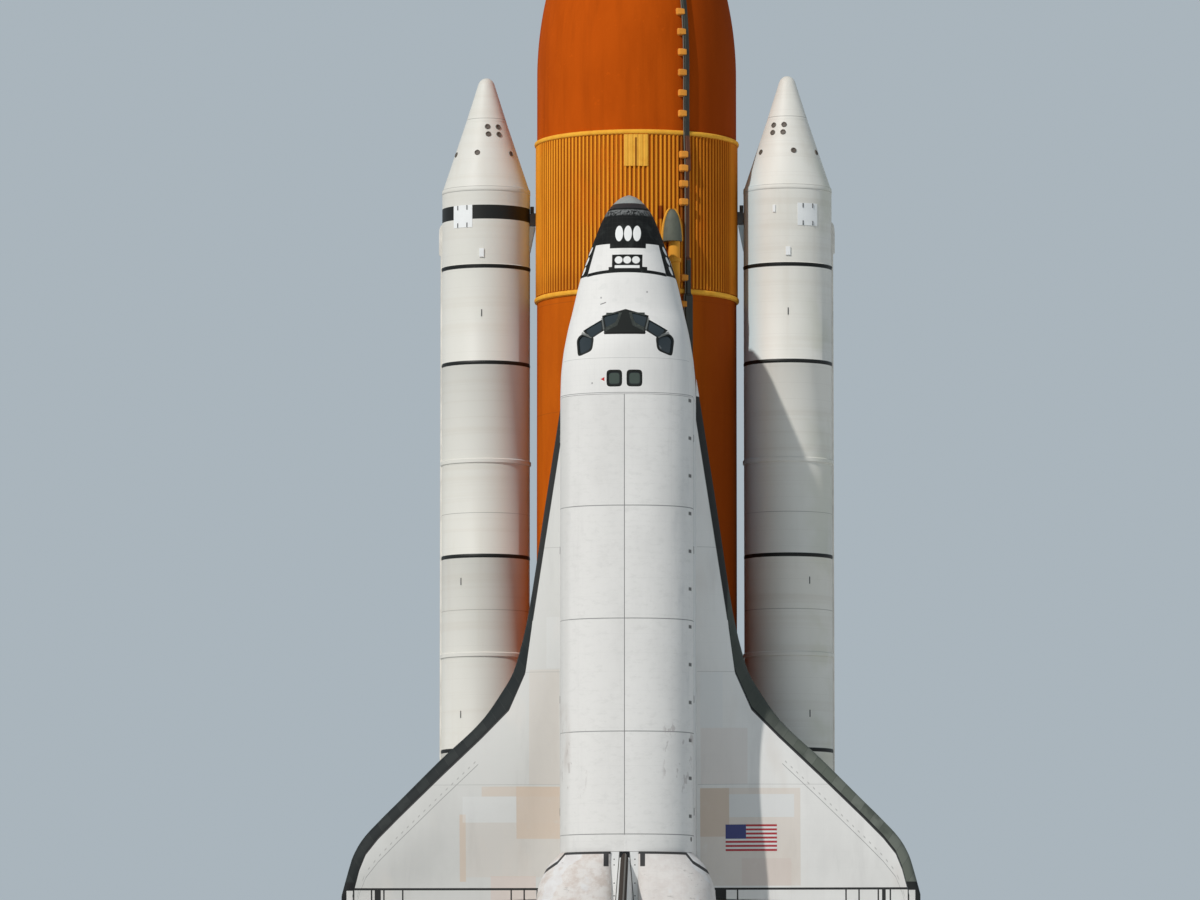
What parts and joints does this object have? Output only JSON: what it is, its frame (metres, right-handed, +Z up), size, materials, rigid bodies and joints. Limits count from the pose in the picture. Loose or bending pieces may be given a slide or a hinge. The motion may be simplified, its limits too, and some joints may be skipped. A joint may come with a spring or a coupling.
{
  "type": "space shuttle launch stack, 1:2 scale model",
  "caption": "Winged orbiter on the side of an orange tank between two white boosters, upright on hold-down posts, with moving doors, engines and control surfaces.",
  "frame": {"origin": "on the floor under the middle of the bounding box, level with the bases of the hold-down posts", "axes": "+Z up along the tank's axis, +X to the orbiter's starboard, -Y towards the orbiter's back and fin"},
  "size_m": [11.8822, 11.7158, 28.2339],
  "materials": {
    "tank_foam": "matte",
    "intertank_foam": "matte",
    "pipe_foam": "matte",
    "dark_tray": "matte",
    "strut_steel": "satin",
    "booster_paint": "satin",
    "white_tiles": "matte",
    "black_tiles": "matte",
    "carbon_edge": "matte",
    "window_glass": "gloss",
    "nozzle_metal": "satin",
    "cabin_grey": "matte"
  },
  "bodies": {
    "stack": {"oxygen_tank": "tank_foam", "intertank": "intertank_foam", "hydrogen_tank": "tank_foam", "oxygen_feedline": "pipe_foam", "cable_tray": "dark_tray", "forward_bipod": "strut_steel", "aft_attach_frame": "strut_steel", "nose_cap": "carbon_edge", "forward_fuselage": "white_tiles", "windshield": "window_glass", "roof_windows": "window_glass", "flight_deck": "cabin_grey", "mid_fuselage": "white_tiles", "aft_fuselage": "white_tiles", "fin": "white_tiles", "left_aft_struts": "strut_steel", "left_booster_nose": "booster_paint", "left_forward_skirt": "booster_paint", "left_case_forward": "booster_paint", "left_case_mid_forward": "booster_paint", "left_case_mid_aft": "booster_paint", "left_case_aft": "booster_paint", "left_cable_tunnel": "booster_paint", "left_aft_skirt": "booster_paint", "left_wing": "white_tiles", "left_leading_edge": "carbon_edge", "left_pod": "white_tiles", "left_pod_nozzle": "nozzle_metal", "right_aft_struts": "strut_steel", "right_booster_nose": "booster_paint", "right_forward_skirt": "booster_paint", "right_case_forward": "booster_paint", "right_case_mid_forward": "booster_paint", "right_case_mid_aft": "booster_paint", "right_case_aft": "booster_paint", "right_cable_tunnel": "booster_paint", "right_aft_skirt": "booster_paint", "right_wing": "white_tiles", "right_leading_edge": "carbon_edge", "right_pod": "white_tiles", "right_pod_nozzle": "nozzle_metal"},
    "left_inboard_elevon": {"left_inboard_elevon": "white_tiles"},
    "left_outboard_elevon": {"left_outboard_elevon": "white_tiles"},
    "right_inboard_elevon": {"right_inboard_elevon": "white_tiles"},
    "right_outboard_elevon": {"right_outboard_elevon": "white_tiles"},
    "body_flap": {"body_flap": "black_tiles"},
    "rudder_shaft": {"rudder_shaft": "black_tiles"},
    "right_rudder_panel": {"right_rudder_panel": "white_tiles"},
    "left_rudder_panel": {"left_rudder_panel": "white_tiles"},
    "right_payload_door": {"right_payload_door": "white_tiles"},
    "left_payload_door": {"left_payload_door": "white_tiles"},
    "crew_hatch": {"crew_hatch": "white_tiles"},
    "upper_gimbal": {"upper_gimbal": "strut_steel"},
    "upper_engine": {"upper_engine": "nozzle_metal"},
    "left_gimbal": {"left_gimbal": "strut_steel"},
    "left_engine": {"left_engine": "nozzle_metal"},
    "right_gimbal": {"right_gimbal": "strut_steel"},
    "right_engine": {"right_engine": "nozzle_metal"},
    "left_booster_nozzle": {"left_booster_nozzle": "nozzle_metal"},
    "right_booster_nozzle": {"right_booster_nozzle": "nozzle_metal"}
  },
  "joints": [
    {"name": "left_inboard_elevon_hinge", "type": "hinge", "parent": "stack", "child": "left_inboard_elevon", "pos_m": [-1.4732, 0.95831, 5.30403], "axis": [0.9993, 0.038, 0], "range_deg": [-35, 20]},
    {"name": "left_outboard_elevon_hinge", "type": "hinge", "parent": "stack", "child": "left_outboard_elevon", "pos_m": [-3.9878, 0.86256, 5.30403], "axis": [0.9993, 0.0385, 0], "range_deg": [-35, 20]},
    {"name": "right_inboard_elevon_hinge", "type": "hinge", "parent": "stack", "child": "right_inboard_elevon", "pos_m": [1.4732, 0.95831, 5.30403], "axis": [0.9993, -0.038, 0], "range_deg": [-35, 20]},
    {"name": "right_outboard_elevon_hinge", "type": "hinge", "parent": "stack", "child": "right_outboard_elevon", "pos_m": [3.9878, 0.86256, 5.30403], "axis": [0.9993, -0.0385, 0], "range_deg": [-35, 20]},
    {"name": "body_flap_hinge", "type": "hinge", "parent": "stack", "child": "body_flap", "pos_m": [0, 0.889, 3.46761], "axis": [1, 0, 0], "range_deg": [-11.7, 22.5]},
    {"name": "rudder_hinge", "type": "hinge", "parent": "stack", "child": "rudder_shaft", "pos_m": [0, -3.0861, 3.71653], "axis": [0, -0.8363, -0.5483], "range_deg": [-27.1, 27.1]},
    {"name": "right_rudder_panel_hinge", "type": "hinge", "parent": "rudder_shaft", "child": "right_rudder_panel", "pos_m": [0, -3.0861, 3.71653], "axis": [0, -0.8363, -0.5483], "range_deg": [0, 49.3]},
    {"name": "left_rudder_panel_hinge", "type": "hinge", "parent": "rudder_shaft", "child": "left_rudder_panel", "pos_m": [0, -3.0861, 3.71653], "axis": [0, 0.8363, 0.5483], "range_deg": [0, 49.3]},
    {"name": "right_payload_door_hinge", "type": "hinge", "parent": "stack", "child": "right_payload_door", "pos_m": [1.36525, -0.72644, 10.96188], "axis": [0, 0, 1], "range_deg": [0, 175.5]},
    {"name": "left_payload_door_hinge", "type": "hinge", "parent": "stack", "child": "left_payload_door", "pos_m": [-1.36525, -0.72644, 10.96188], "axis": [0, 0, -1], "range_deg": [0, 175.5]},
    {"name": "crew_hatch_hinge", "type": "hinge", "parent": "stack", "child": "crew_hatch", "pos_m": [-1.31699, 0.32385, 16.48003], "axis": [0, 0, -1], "range_deg": [0, 90]},
    {"name": "upper_engine_pitch", "type": "hinge", "parent": "stack", "child": "upper_gimbal", "pos_m": [0, -1.0922, 4.56743], "axis": [1, 0, 0], "range_deg": [-10.5, 10.5]},
    {"name": "upper_engine_yaw", "type": "hinge", "parent": "upper_gimbal", "child": "upper_engine", "pos_m": [0, -1.0922, 4.56743], "axis": [0, -0.9613, 0.2756], "range_deg": [-8.5, 8.5]},
    {"name": "left_engine_pitch", "type": "hinge", "parent": "stack", "child": "left_gimbal", "pos_m": [-0.6731, 0.18237, 4.27317], "axis": [0.9981, 0, -0.061], "range_deg": [-10.5, 10.5]},
    {"name": "left_engine_yaw", "type": "hinge", "parent": "left_gimbal", "child": "left_engine", "pos_m": [-0.6731, 0.18237, 4.27317], "axis": [0.0106, -0.9848, 0.1733], "range_deg": [-8.5, 8.5]},
    {"name": "right_engine_pitch", "type": "hinge", "parent": "stack", "child": "right_gimbal", "pos_m": [0.6731, 0.18237, 4.27317], "axis": [0.9981, 0, 0.061], "range_deg": [-10.5, 10.5]},
    {"name": "right_engine_yaw", "type": "hinge", "parent": "right_gimbal", "child": "right_engine", "pos_m": [0.6731, 0.18237, 4.27317], "axis": [-0.0106, -0.9848, 0.1733], "range_deg": [-8.5, 8.5]},
    {"name": "left_booster_nozzle_tilt", "type": "hinge", "parent": "stack", "child": "left_booster_nozzle", "pos_m": [-3.18135, 3.72745, 1.69723], "axis": [1, 0, 0], "range_deg": [-8, 8]},
    {"name": "right_booster_nozzle_tilt", "type": "hinge", "parent": "stack", "child": "right_booster_nozzle", "pos_m": [3.18135, 3.72745, 1.69723], "axis": [1, 0, 0], "range_deg": [-8, 8]}
  ],
  "couplings": [
    {"joint": "left_rudder_panel_hinge", "follows": "right_rudder_panel_hinge", "ratio": 1}
  ]
}
